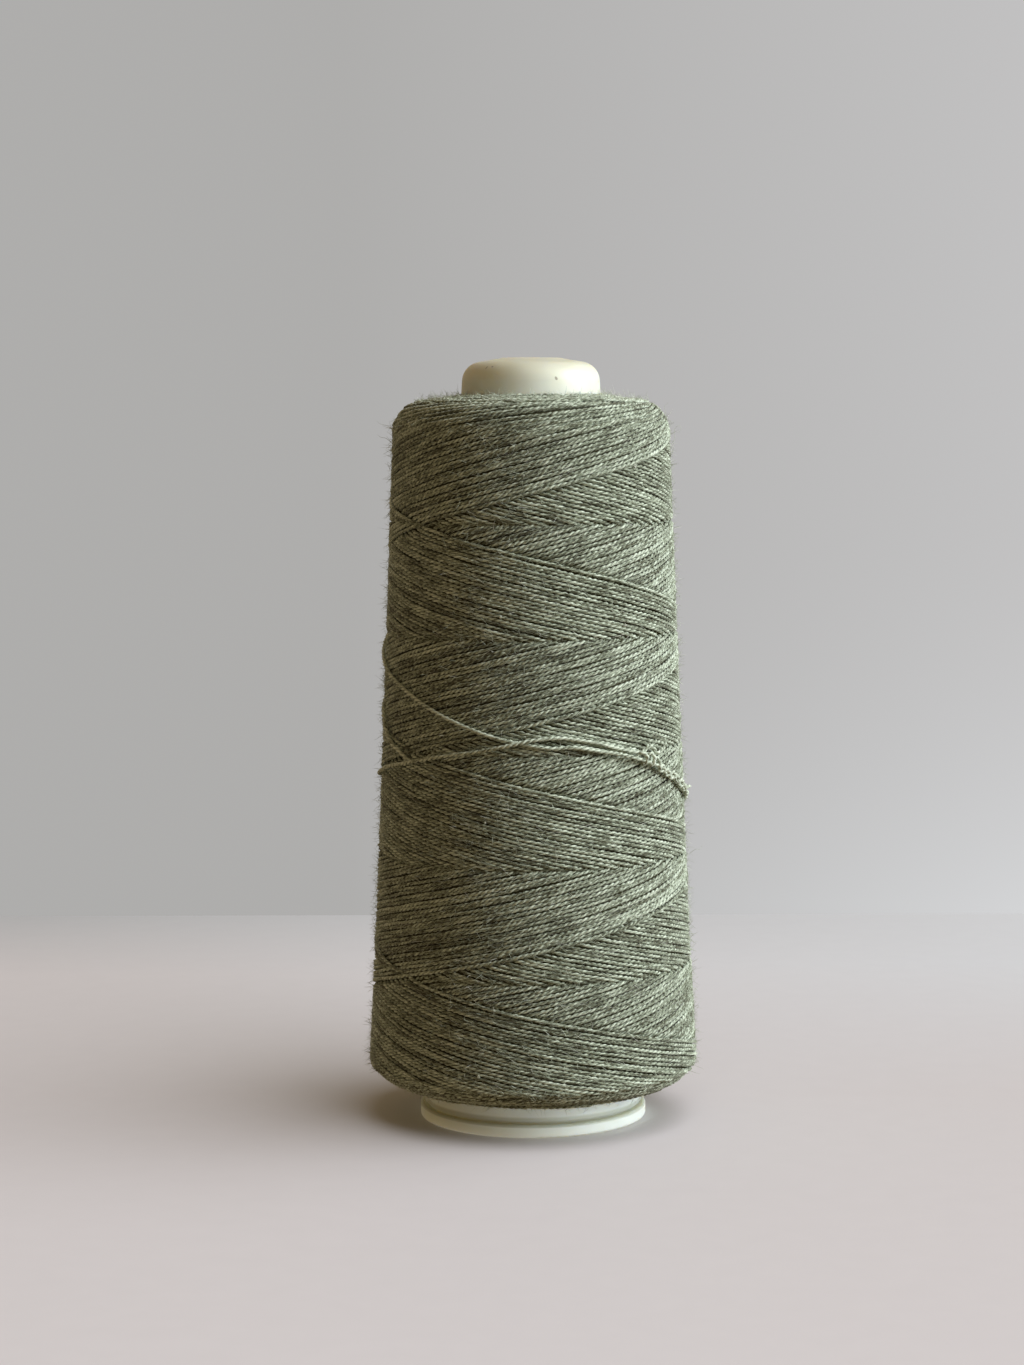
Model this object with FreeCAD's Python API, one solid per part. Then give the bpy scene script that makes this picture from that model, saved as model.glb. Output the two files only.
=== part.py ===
import FreeCAD, Part
import math
import os

# A cross-wound package of two-ply yarn on a moulded plastic cone.
# Millimetres and degrees. The origin is the centre of the foot's underside, +Z is up.
# Azimuth 0 faces -Y, the front, and grows towards +X.

# Moulded cone
cone_height = 170.0
foot_radius = 25.4
foot_ring_height = 2.9
foot_edge_round = 0.5
groove_width = 0.7
groove_depth = 0.6
seat_radius = 24.5
top_radius = 15.0
nose_drop = 1.5
nose_round = 4.4
nose_web = 3.0
nose_rim_radius = 6.4
nose_hole_radius = 5.0
nose_lip_round = 0.8
wall = 1.6

# Yarn package
yarn_diameter = 1.15
yarn_low = 7.5
yarn_high = 162.0
winding_radius_low = 36.95
winding_radius_high = 30.85
end_rise_low = 1.0
end_drop_high = 2.0
shoulder_round_low = 5.0
shoulder_round_high = 6.0

# Outer turns: each traverse up or down the package is one level of the yarn
turning_height_low = 15.0
turning_height_high = 152.0
turns_per_traverse = 2.875
double_traverses = 4
reversal_angle = 90.0
turn_clearance = 0.15
level_gap = 0.5
end_clearance = 0.05

# Free end: a long wrap round the outside, hitched over itself
free_gap = 0.3
strand_gap = 0.6
free_bend_radius = 2.3
hitch_azimuth = 43.0
hitch_pitch = 3.3

# First two laps of the free end, as azimuth, height and extra lift in strand steps.
# The first lap is raised at the hitch, and the second passes over it once at the front.
laps = [
    (-168.0, 121.4, 0),
    (-140.0, 115.6, 0),
    (-112.0, 110.4, 0),
    (-87.0, 104.8, 0),
    (-60.0, 98.8, 0),
    (-37.0, 93.5, 0),
    (-14.0, 88.9, 0),
    (10.0, 86.4, 0),
    (25.0, 85.6, 0),
    (35.0, 84.6, 1),
    (53.0, 81.2, 1),
    (63.0, 78.4, 0),
    (76.0, 74.6, 0),
    (96.0, 71.0, 0),
    (122.0, 69.2, 0),
    (150.0, 69.2, 0),
    (180.0, 70.8, 0),
    (210.0, 72.8, 0),
    (240.0, 75.0, 0),
    (270.0, 77.4, 0),
    (297.0, 80.8, 0),
    (322.0, 84.0, 0),
    (340.0, 85.9, 0),
    (350.0, 87.0, 1),
    (361.0, 88.2, 1),
    (371.0, 88.7, 0),
    (383.0, 88.0, 0),
    (395.0, 86.5, 0),
]

# Loose tail after the hitch, beside the first lap
tail = [
    (421.0, 81.0, 0),
    (436.0, 76.5, 0),
    (456.0, 73.0, 0),
    (474.0, 71.5, 0),
    (488.0, 71.1, 0),
]

# Sizes that follow from the ones above
seat_height = foot_ring_height + groove_width
cone_slope = (seat_radius - top_radius) / (cone_height - seat_height)
winding_slope = (winding_radius_low - winding_radius_high) / (turning_height_high - turning_height_low)
winding_tilt = math.atan(winding_slope)
rising_lift = turn_clearance + yarn_diameter / 2
falling_lift = rising_lift + yarn_diameter + level_gap
free_lift = falling_lift + yarn_diameter + free_gap
turns_depth = turn_clearance + 2 * yarn_diameter + level_gap
strand_step = yarn_diameter + strand_gap
traverse_angle = 360.0 * turns_per_traverse
fall_rate = (turning_height_high - turning_height_low) / (traverse_angle - reversal_angle / 2)


def cone_radius(height):
    """Outer radius of the bare cone at a height."""
    return seat_radius - cone_slope * (height - seat_height)


def package_radius(height):
    """Radius of the packed yarn under the outer turns at a height."""
    winding_radius = winding_radius_low - winding_slope * (height - turning_height_low)
    return winding_radius - turns_depth / math.cos(winding_tilt)


def revolve(outline):
    """Turn a closed outline of (radius, height) points round the Z axis."""
    points = [FreeCAD.Vector(radius, 0, height) for radius, height in outline]
    face = Part.Face(Part.makePolygon(points + points[:1]))
    return face.revolve(FreeCAD.Vector(0, 0, 0), FreeCAD.Vector(0, 0, 1), 360)


def round_rims(solid, rims):
    """Fillet circular rims given as (radius, height, fillet radius)."""
    tolerance = 0.01
    for radius, height, fillet in rims:
        edges = []
        for edge in solid.Edges:
            if not isinstance(edge.Curve, Part.Circle):
                continue
            same_height = abs(edge.Curve.Center.z - height) < tolerance
            if same_height and abs(edge.Curve.Radius - radius) < tolerance:
                edges.append(edge)
        solid = solid.makeFillet(fillet, edges)
    return solid


def make_cone_core():
    """Moulded cone: foot ring, groove, taper, rounded nose with its hole, and the hollow inside."""
    groove_radius = seat_radius - groove_depth
    shoulder_height = cone_height - nose_drop
    ceiling_height = cone_height - nose_web
    shoulder_radius = cone_radius(shoulder_height)
    inner_low = cone_radius(0) - wall
    inner_high = cone_radius(ceiling_height) - wall
    outline = [
        (inner_low, 0),
        (foot_radius, 0),
        (foot_radius, foot_ring_height),
        (groove_radius, foot_ring_height),
        (groove_radius, seat_height),
        (seat_radius, seat_height),
        (shoulder_radius, shoulder_height),
        (nose_rim_radius, cone_height),
        (nose_hole_radius, cone_height),
        (nose_hole_radius, ceiling_height),
        (inner_high, ceiling_height),
    ]
    rims = [
        (foot_radius, 0, foot_edge_round),
        (foot_radius, foot_ring_height, foot_edge_round),
        (shoulder_radius, shoulder_height, nose_round),
        (nose_hole_radius, cone_height, nose_lip_round),
        (inner_high, ceiling_height, nose_round - wall),
    ]
    return round_rims(revolve(outline), rims)


def make_yarn_package():
    """Packed inner layers of yarn, with its inside on the cone and rounded shoulders at both ends."""
    shoulder_low = yarn_low + end_rise_low
    shoulder_high = yarn_high - end_drop_high
    outline = [
        (cone_radius(yarn_low), yarn_low),
        (package_radius(shoulder_low), shoulder_low),
        (package_radius(shoulder_high), shoulder_high),
        (cone_radius(yarn_high), yarn_high),
    ]
    rims = [
        (package_radius(shoulder_low), shoulder_low, shoulder_round_low),
        (package_radius(shoulder_high), shoulder_high, shoulder_round_high),
    ]
    return round_rims(revolve(outline), rims)


def package_normal(azimuth):
    """Unit vector square to the package's side at an azimuth."""
    turn = math.radians(azimuth)
    out = math.cos(winding_tilt)
    return FreeCAD.Vector(out * math.sin(turn), -out * math.cos(turn), math.sin(winding_tilt))


def on_package(azimuth, height, lift):
    """Point at a lift above the package's side."""
    turn = math.radians(azimuth)
    radius = package_radius(height)
    foot = FreeCAD.Vector(radius * math.sin(turn), -radius * math.cos(turn), height)
    return foot + package_normal(azimuth) * lift


def smooth_step(share):
    """Ease from 0 to 1."""
    share = min(max(share, 0.0), 1.0)
    return share * share * (3 - 2 * share)


def outer_turn_point(angle):
    """Centre of the yarn after winding through an angle: down a traverse, up the next."""
    half_reversal = reversal_angle / 2
    within = angle % (2 * traverse_angle)
    from_top = min(within, 2 * traverse_angle - within)
    from_low = traverse_angle - from_top
    if from_top < half_reversal:
        height = turning_height_high - fall_rate * from_top ** 2 / reversal_angle
    elif from_low < half_reversal:
        height = turning_height_low + fall_rate * from_low ** 2 / reversal_angle
    else:
        height = turning_height_high - fall_rate * (from_top - half_reversal / 2)
    falling = within < traverse_angle
    to_reversal = min(from_top, from_low)
    into_level = smooth_step(0.5 + to_reversal / reversal_angle)
    share = into_level if falling else 1 - into_level
    lift = rising_lift + (falling_lift - rising_lift) * share
    return on_package(angle, height, lift)


def outer_turn_angles():
    """Winding angles of the path's nodes, about a quarter turn apart, from a falling traverse at the back."""
    straight_angle = traverse_angle - reversal_angle
    steps = round(straight_angle / 90)
    first_step = steps // 2
    angles = []
    for traverse in range(2 * double_traverses + 1):
        start = traverse * traverse_angle + reversal_angle / 2
        angles += [start + step * straight_angle / steps for step in range(steps + 1)]
    last = 2 * double_traverses * (steps + 1) + first_step - 1
    return angles[first_step:last + 1]


def unit(vector):
    """Copy of a vector at length one."""
    return vector * (1.0 / vector.Length)


def half_of_biarc(start, corner, end):
    """Arc from start to end whose end tangents meet at the corner."""
    chord_middle = (start + end) * 0.5
    reach = (corner - start).Length
    cosine = min((end - start).Length / (2 * reach), 1.0)
    sag = (corner - chord_middle).Length
    if sag < 1e-4:
        return Part.LineSegment(start, end)
    middle = chord_middle + (corner - chord_middle) * (cosine / (1 + cosine))
    return Part.Arc(start, middle, end)


def biarc(start, start_direction, end, end_direction):
    """Two tangent arcs between two points with given directions."""
    chord = end - start
    directions = start_direction + end_direction
    square = 2 * (start_direction.dot(end_direction) - 1)
    linear = -2 * chord.dot(directions)
    constant = chord.dot(chord)
    if abs(square) < 1e-9:
        reach = -constant / linear
    else:
        reach = (-linear - math.sqrt(linear ** 2 - 4 * square * constant)) / (2 * square)
    first_corner = start + start_direction * reach
    second_corner = end - end_direction * reach
    joint = (first_corner + second_corner) * 0.5
    return [half_of_biarc(start, first_corner, joint), half_of_biarc(joint, second_corner, end)]


def join_nodes(points, directions):
    """Run of biarcs through the nodes of a path."""
    curves = []
    for index in range(len(points) - 1):
        here = (points[index], directions[index])
        there = (points[index + 1], directions[index + 1])
        curves += biarc(*here, *there)
    return curves


def leave_package(point, direction, normal, lift, bend_radius):
    """Straight run out of the package, square to it, and the bend that turns it along a direction."""
    centre = point - normal * bend_radius
    bend_start = centre - direction * bend_radius
    bend_middle = centre + (normal - direction) * (bend_radius / math.sqrt(2))
    run = lift - bend_radius - end_clearance
    foot = bend_start - normal * run
    return [Part.LineSegment(foot, bend_start), Part.Arc(bend_start, bend_middle, point)]


def reverse_curves(curves):
    """The same run of lines and arcs, from its other end."""
    turned = []
    for curve in reversed(curves):
        edge = curve.toShape()
        first, last = edge.ParameterRange
        ends = (edge.valueAt(last), edge.valueAt(first))
        if isinstance(curve, Part.LineSegment):
            turned.append(Part.LineSegment(*ends))
        else:
            turned.append(Part.Arc(ends[0], edge.valueAt((first + last) / 2), ends[1]))
    return turned


def sample(curves, spacing):
    """Points along a run of curves with the distance travelled to each."""
    points = []
    travelled = 0.0
    for curve in curves:
        length = curve.length()
        count = max(1, round(length / spacing))
        edge = curve.toShape()
        first, last = edge.ParameterRange
        for index in range(count):
            share = index / count
            points.append((edge.valueAt(first + (last - first) * share), travelled + length * share))
        travelled += length
    return points


def least_gap(first_points, second_points, skip):
    """Least clear distance between two sampled yarns, leaving out points nearer than skip along one yarn."""
    cell_size = 4 * yarn_diameter
    cells = {}
    for point, distance in second_points:
        key = tuple(math.floor(value / cell_size) for value in point)
        cells.setdefault(key, []).append((point, distance))
    nearest = cell_size
    offsets = [(x, y, z) for x in (-1, 0, 1) for y in (-1, 0, 1) for z in (-1, 0, 1)]
    for point, distance in first_points:
        key = tuple(math.floor(value / cell_size) for value in point)
        for offset in offsets:
            cell = cells.get(tuple(key[axis] + offset[axis] for axis in range(3)), [])
            for other, other_distance in cell:
                if abs(distance - other_distance) > skip:
                    nearest = min(nearest, point.distanceToPoint(other))
    return nearest - yarn_diameter


def tightest_radius(curves):
    """Smallest arc radius in a run of curves."""
    radii = []
    for curve in curves:
        edge = curve.toShape()
        if isinstance(edge.Curve, Part.Circle):
            radii.append(edge.Curve.Radius)
    return min(radii)


def make_tube(name, curves):
    """Solid yarn along a run of lines and arcs, with its facts printed."""
    path = Part.Wire([curve.toShape() for curve in curves])
    start = curves[0].value(curves[0].FirstParameter)
    direction = curves[0].tangent(curves[0].FirstParameter)[0]
    section = Part.Wire([Part.makeCircle(yarn_diameter / 2, start, direction)])
    tube = path.makePipeShell([section], True, False)
    expected = math.pi * (yarn_diameter / 2) ** 2 * path.Length
    gap = least_gap(sample(curves, 0.4), sample(curves, 0.4), 3 * yarn_diameter)
    print(name, "length", round(path.Length, 1), "tightest radius", round(tightest_radius(curves), 2))
    print(name, "volume over section times length", round(tube.Volume / expected, 4))
    print(name, "least gap to itself", round(gap, 2))
    return tube


def outer_turn_curves():
    """Path of the outer turns: both ends turn in and stand square on the package."""
    angles = outer_turn_angles()
    step = 0.01
    points = [outer_turn_point(angle) for angle in angles]
    directions = []
    for angle in angles:
        directions.append(unit(outer_turn_point(angle + step) - outer_turn_point(angle - step)))
    bend = falling_lift - yarn_diameter - end_clearance
    start_normal = package_normal(angles[0])
    end_normal = package_normal(angles[-1])
    start = leave_package(points[0], directions[0], start_normal, falling_lift, bend)
    end = leave_package(points[-1], directions[-1] * -1, end_normal, falling_lift, bend)
    return start + join_nodes(points, directions) + reverse_curves(end)


def lap_height(azimuth):
    """Height of the first lap at an azimuth, straight from node to node."""
    height = laps[0][1]
    for before, after in zip(laps, laps[1:]):
        if before[0] <= azimuth <= after[0]:
            share = (azimuth - before[0]) / (after[0] - before[0])
            height = before[1] + (after[1] - before[1]) * share
            break
    return height


def lap_nodes(lap):
    """Points of a lap and the yarn's direction at each, level with the package there."""
    step = 0.01
    points = []
    directions = []
    for index, (azimuth, height, steps) in enumerate(lap):
        before = lap[max(index - 1, 0)]
        after = lap[min(index + 1, len(lap) - 1)]
        rise = step * (after[1] - before[1]) / (after[0] - before[0])
        lift = free_lift + steps * strand_step
        points.append(on_package(azimuth, height, lift))
        ahead = on_package(azimuth + step, height + rise, lift)
        behind = on_package(azimuth - step, height - rise, lift)
        directions.append(unit(ahead - behind))
    return points, directions


def hitch_point(turn):
    """Second lap winding round the first: above it at 0 degrees, over it at 90, below it, then under it."""
    height_here = lap_height(hitch_azimuth)
    degree_length = math.radians(package_radius(height_here) + free_lift)
    azimuth = hitch_azimuth + hitch_pitch / degree_length * turn / 360
    fall = (height_here - lap_height(hitch_azimuth + 1)) / degree_length
    reach = strand_step * math.sqrt(1 + fall ** 2)
    height = lap_height(azimuth) + reach * math.cos(math.radians(turn))
    steps = 1 + math.sin(math.radians(turn))
    return on_package(azimuth, height, free_lift + steps * strand_step)


def hitch_nodes():
    """Quarter turns of the hitch and the yarn's direction at each."""
    step = 0.1
    turns = [0, 90, 180, 270]
    points = [hitch_point(turn) for turn in turns]
    directions = [unit(hitch_point(turn + step) - hitch_point(turn - step)) for turn in turns]
    return points, directions


def free_end_curves():
    """Path of the free end: out of the package at the back, two laps, a hitch and a loose tail."""
    points = []
    directions = []
    for more_points, more_directions in (lap_nodes(laps), hitch_nodes(), lap_nodes(tail)):
        points += more_points
        directions += more_directions
    normal = package_normal(laps[0][0])
    start = leave_package(points[0], directions[0], normal, free_lift, free_bend_radius)
    end = [Part.LineSegment(points[-1], points[-1] + directions[-1] * yarn_diameter)]
    return start + join_nodes(points, directions) + end


def main():
    """Build every sub-part and write one file for each."""
    os.makedirs("parts", exist_ok=True)
    turn_curves = outer_turn_curves()
    free_curves = free_end_curves()
    shapes = {
        "cone_core": make_cone_core(),
        "yarn_package": make_yarn_package(),
        "yarn_outer_turns": make_tube("yarn_outer_turns", turn_curves),
        "yarn_free_end": make_tube("yarn_free_end", free_curves),
    }
    gap = least_gap(sample(free_curves, 0.4), sample(turn_curves, 0.4), -1)
    print("free end to outer turns, least gap", round(gap, 2))
    for name, shape in shapes.items():
        print(name, "solids", len(shape.Solids), "valid", shape.isValid(), "volume", round(shape.Volume, 1))
        shape.exportStep("parts/" + name + ".step")


main()
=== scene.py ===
import bpy
import math
import numpy as np
from mathutils import Matrix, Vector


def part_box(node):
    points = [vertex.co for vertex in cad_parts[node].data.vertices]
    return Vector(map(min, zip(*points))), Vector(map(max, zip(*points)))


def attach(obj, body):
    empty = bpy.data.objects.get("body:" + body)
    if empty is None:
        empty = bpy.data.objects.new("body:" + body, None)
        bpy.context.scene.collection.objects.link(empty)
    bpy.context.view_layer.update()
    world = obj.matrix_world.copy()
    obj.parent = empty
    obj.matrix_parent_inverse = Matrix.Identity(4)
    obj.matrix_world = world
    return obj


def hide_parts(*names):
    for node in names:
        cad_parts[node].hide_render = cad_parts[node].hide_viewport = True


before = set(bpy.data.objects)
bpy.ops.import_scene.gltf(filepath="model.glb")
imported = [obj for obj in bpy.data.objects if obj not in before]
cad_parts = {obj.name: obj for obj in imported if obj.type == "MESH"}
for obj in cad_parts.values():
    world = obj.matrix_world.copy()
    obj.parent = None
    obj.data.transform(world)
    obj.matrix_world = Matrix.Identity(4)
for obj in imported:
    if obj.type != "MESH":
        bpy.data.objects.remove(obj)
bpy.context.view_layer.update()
print("frame loaded, nodes:", ", ".join(sorted(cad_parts)))

# Lengths are in mm and angles in degrees until a mesh is made.
# Azimuth 0 faces -Y, where the camera stands, and grows towards +X.
mm = 0.001
fullTurn = 2 * math.pi
scene = bpy.context.scene


# Small tools

def ease(share):
    share = np.clip(share, 0, 1)
    return share * share * (3 - 2 * share)


def unit(vectors):
    return vectors / np.linalg.norm(vectors, axis=-1, keepdims=True)


def travel(points):
    # distance along a line of points from its start
    return np.r_[0, np.cumsum(np.linalg.norm(np.diff(points, axis=0), axis=1))]


def alongLine(places, travelled, points):
    # points at some distances along a line
    return np.stack([np.interp(places, travelled, points[:, axis]) for axis in range(3)], axis=1)


def wander(places, wavelength, dice):
    # smooth random line between -1 and 1, with a new value every wavelength
    start = places.min() - wavelength
    values = dice.uniform(-1, 1, int((places.max() - start) / wavelength) + 3)
    position = (places - start) / wavelength
    before = np.floor(position).astype(int)
    share = ease(position - before)
    return values[before] * (1 - share) + values[before + 1] * share


def roundCorner(before, corner, after, radius, spacing):
    # arc that joins the straight runs before and after a corner
    toBefore = unit(before - corner)
    toAfter = unit(after - corner)
    half = math.acos(float(toBefore @ toAfter)) / 2
    centre = corner + unit(toBefore + toAfter) * radius / math.sin(half)
    first = corner + toBefore * radius / math.tan(half) - centre
    last = corner + toAfter * radius / math.tan(half) - centre
    firstAngle = math.atan2(first[1], first[0])
    sweep = math.atan2(last[1], last[0]) - firstAngle
    sweep = (sweep + math.pi) % fullTurn - math.pi
    angles = firstAngle + np.linspace(0, sweep, max(3, int(abs(sweep) * radius / spacing)))
    return centre + radius * np.stack([np.cos(angles), np.sin(angles)], axis=1)


def newObject(name, data):
    made = bpy.data.objects.new(name, data)
    scene.collection.objects.link(made)
    return made


def newMesh(name, vertices, corners, starts, flatMap, values):
    # smooth mesh from flat arrays, with its map and its values at the points
    mesh = bpy.data.meshes.new(name)
    mesh.vertices.add(len(vertices))
    mesh.vertices.foreach_set("co", vertices.reshape(-1))
    mesh.loops.add(len(corners))
    mesh.loops.foreach_set("vertex_index", corners)
    mesh.polygons.add(len(starts))
    mesh.polygons.foreach_set("loop_start", starts)
    mesh.polygons.foreach_set("use_smooth", np.ones(len(starts), bool))
    mesh.update(calc_edges=True)
    mesh.uv_layers.new(name="OFBake").data.foreach_set("uv", flatMap.astype(np.float32))
    for label, numbers in values.items():
        kind, field = ("FLOAT", "value") if numbers.ndim == 1 else ("FLOAT_VECTOR", "vector")
        attribute = mesh.attributes.new(label, kind, "POINT")
        attribute.data.foreach_set(field, numbers.reshape(-1).astype(np.float32))
    return mesh


def ride(piece, replaced):
    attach(piece, "root")
    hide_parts(replaced)
    litGroups["spool"].objects.link(piece)


# Node tools

def newMaterial(name):
    material = bpy.data.materials.new(name)
    material.use_nodes = True
    shader = material.node_tree.nodes["Principled BSDF"]
    return material, material.node_tree, shader


def addNode(tree, kind, **settings):
    node = tree.nodes.new(kind)
    for name, value in settings.items():
        setattr(node, name, value)
    return node


def addPlace(tree):
    # place in the scene in metres, whole and in its three parts
    place = addNode(tree, "ShaderNodeNewGeometry").outputs["Position"]
    split = addNode(tree, "ShaderNodeSeparateXYZ")
    tree.links.new(place, split.inputs["Vector"])
    return place, split.outputs


def addNoise(tree, vector, scale, detail, roughness=0.5):
    node = addNode(tree, "ShaderNodeTexNoise")
    node.inputs["Scale"].default_value = scale
    node.inputs["Detail"].default_value = detail
    node.inputs["Roughness"].default_value = roughness
    tree.links.new(vector, node.inputs["Vector"])
    return node.outputs["Fac"]


def addMapping(tree, vector, scale, place=(0, 0, 0)):
    node = addNode(tree, "ShaderNodeMapping")
    node.inputs["Scale"].default_value = scale
    node.inputs["Location"].default_value = place
    tree.links.new(vector, node.inputs["Vector"])
    return node.outputs["Vector"]


def addRamp(tree, value, stops):
    node = addNode(tree, "ShaderNodeValToRGB")
    ramp = node.color_ramp
    while len(ramp.elements) < len(stops):
        ramp.elements.new(0.5)
    for element, (place, colour) in zip(ramp.elements, stops):
        element.position = place
        element.color = (*colour, 1)
    tree.links.new(value, node.inputs["Fac"])
    return node.outputs["Color"]


def addMath(tree, operation, first, second):
    node = addNode(tree, "ShaderNodeMath", operation=operation)
    for socket, value in zip(node.inputs, (first, second)):
        if isinstance(value, (int, float)):
            socket.default_value = value
        else:
            tree.links.new(value, socket)
    return node.outputs["Value"]


def addRange(tree, value, low, high, toLow, toHigh):
    node = addNode(tree, "ShaderNodeMapRange")
    for name, number in (("From Min", low), ("From Max", high), ("To Min", toLow), ("To Max", toHigh)):
        node.inputs[name].default_value = number
    tree.links.new(value, node.inputs["Value"])
    return node.outputs["Result"]


def addMix(tree, blend, share, first, second):
    node = addNode(tree, "ShaderNodeMix", data_type="RGBA", blend_type=blend)
    for name, value in (("Factor", share), ("A", first), ("B", second)):
        socket = node.inputs[name]
        if isinstance(value, tuple):
            socket.default_value = (*value, 1)
        elif isinstance(value, (int, float)):
            socket.default_value = value
        else:
            tree.links.new(value, socket)
    return node.outputs["Result"]


def addBump(tree, shader, height, strength, distance):
    node = addNode(tree, "ShaderNodeBump")
    node.inputs["Strength"].default_value = strength
    node.inputs["Distance"].default_value = distance
    tree.links.new(height, node.inputs["Height"])
    tree.links.new(node.outputs["Normal"], shader.inputs["Normal"])


# Camera

camera = {
    "height": 156.1,
    "distance": 651.3,      # in front of the cone's axis
    "pitch": 5.12,          # looking down
    "yaw": 0.39,            # to the left
    "roll": -0.22,
    "focalLength": 2920.0,  # in pixels of the photo's 1365 pixel long side
    "longSide": 1365.0,
    "filmWidth": 36.0,
}


def addCamera():
    lens = bpy.data.cameras.new("camera")
    lens.sensor_width = camera["filmWidth"]
    lens.lens = camera["filmWidth"] * camera["focalLength"] / camera["longSide"]
    lens.clip_start = 0.01
    lens.clip_end = 20
    holder = newObject("camera", lens)
    place = Matrix.Translation((0, -camera["distance"] * mm, camera["height"] * mm))
    yaw = Matrix.Rotation(math.radians(camera["yaw"]), 4, "Z")
    tilt = Matrix.Rotation(math.radians(90 - camera["pitch"]), 4, "X")
    roll = Matrix.Rotation(math.radians(camera["roll"]), 4, "Z")
    holder.matrix_world = place @ yaw @ tilt @ roll
    scene.camera = holder


addCamera()
print("camera placed")


# Floor, backdrop and light

# The floor's colour turns into the backdrop's before its far edge, with painted shade towards the left
# edge, painted light towards the right edge, and painted shade on the right side that evens out the
# window's stronger light there.
# The round backdrop stands well back, so it hides the spool from no side. It glows with painted light
# and shade: darker at the left, lighter at the right and lighter still low on the right, where the
# window's light and the floor's bounce fall.
floor = {
    "back": 265.0,
    "front": 1500.0,
    "halfWidth": 1500.0,
    "colour": (0.725, 0.714, 0.737),
    "turnX": 0.16,          # metres to each side, where the left's colour turns into the right's
    # painted shade: the right side is made a little darker against the window's stronger light there
    "rightPaintedShade": -0.07,
    # painted shade towards the left edge, matching the backdrop's darker painted left
    "leftEdgePaintedShade": (0.775, 0.83, 0.85),
    "leftFade": (0.165, 0.262),     # metres behind the cone's axis
    # painted light towards the right edge, matching the backdrop's lighter painted right
    "rightEdgePaintedLight": (1.10, 1.19, 1.23),
    "rightFade": (0.02, 0.18),
}

backdrop = {
    "radius": 1750.0,
    "fromZ": -1300.0,
    "toZ": 2300.0,
    # painted light and shade: darker left, lighter right, lighter still low on the right from the
    # floor's bounce
    "left": (0.425, 0.42, 0.412),
    "right": (0.54, 0.535, 0.537),
    "lowRightPaintedLight": (0.66, 0.665, 0.675),
    "leftX": -0.15,         # metres, across the picture and up it
    "rightX": 0.42,
    "lowZ": -0.24,
    "lowFadeZ": 0.12,
}

# One window lights the spool, and a wider part of it the board, with softer shadows.
# The board throws some light up on the cone, and a far window opens the back.
lights = {
    "window": {"azimuth": 77, "elevation": 27, "away": 1250, "size": 850, "power": 24.5,
               "colour": (0.92, 0.99, 1.0), "on": "spool"},
    "wideWindow": {"azimuth": 62, "elevation": 52, "away": 1900, "size": 2600, "power": 56.0,
                   "colour": (0.95, 0.96, 1.0), "on": "board"},
    "floorBounce": {"azimuth": 50, "elevation": -22, "away": 500, "size": 420, "power": 1.3,
                    "colour": (0.95, 0.985, 1.0), "on": "cone"},
    "farWindow": {"azimuth": 190, "elevation": 22, "away": 1250, "size": 900, "power": 8.0,
                  "colour": (1.0, 0.95, 0.88), "on": "spool"},
    "room": (0.218, 0.159, 0.092),    # warm light from all round
}
aimZ = 85.0     # height that the lights point at
litGroups = {name: bpy.data.collections.new(name) for name in ("board", "spool", "cone")}


def addFloor():
    half = floor["halfWidth"] * mm
    front, back = -floor["front"] * mm, floor["back"] * mm
    corners = [(-half, front, 0), (half, front, 0), (half, back, 0), (-half, back, 0)]
    mesh = bpy.data.meshes.new("floor")
    mesh.from_pydata(corners, [], [(0, 1, 2, 3)])
    board = newObject("floor", mesh)

    material, tree, shader = newMaterial("board with painted light and shade")
    place, parts = addPlace(tree)
    right = addRange(tree, parts["X"], -floor["turnX"], floor["turnX"], 0.0, 1.0)
    left = addMath(tree, "SUBTRACT", 1.0, right)
    leftFade = addRange(tree, parts["Y"], *floor["leftFade"], 0.0, 1.0)
    rightFade = addRange(tree, parts["Y"], *floor["rightFade"], 0.0, 1.0)
    leftEdgeShadeShare = addMath(tree, "MULTIPLY", left, leftFade)
    rightEdgeLightShare = addMath(tree, "MULTIPLY", right, rightFade)
    # painted shade on the right side and at the left edge, painted light at the right edge
    paintedSideShade = addRange(tree, right, 0.0, 1.0, 1.0, 1.0 + floor["rightPaintedShade"])
    colour = addMix(tree, "MULTIPLY", 1.0, floor["colour"], paintedSideShade)
    colour = addMix(tree, "MULTIPLY", leftEdgeShadeShare, colour, floor["leftEdgePaintedShade"])
    colour = addMix(tree, "MULTIPLY", rightEdgeLightShare, colour, floor["rightEdgePaintedLight"])
    grain = addNoise(tree, place, 140.0, 3)
    soft = addRange(tree, grain, 0.3, 0.7, 0.985, 1.0)
    colour = addMix(tree, "MULTIPLY", 1.0, colour, soft)
    tree.links.new(colour, shader.inputs["Base Color"])
    shader.inputs["Roughness"].default_value = 0.62
    addBump(tree, shader, grain, 0.05, 0.0004)
    mesh.materials.append(material)
    board.visible_diffuse = False   # the lights alone set how bright the spool's dark side is
    litGroups["board"].objects.link(board)


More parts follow.
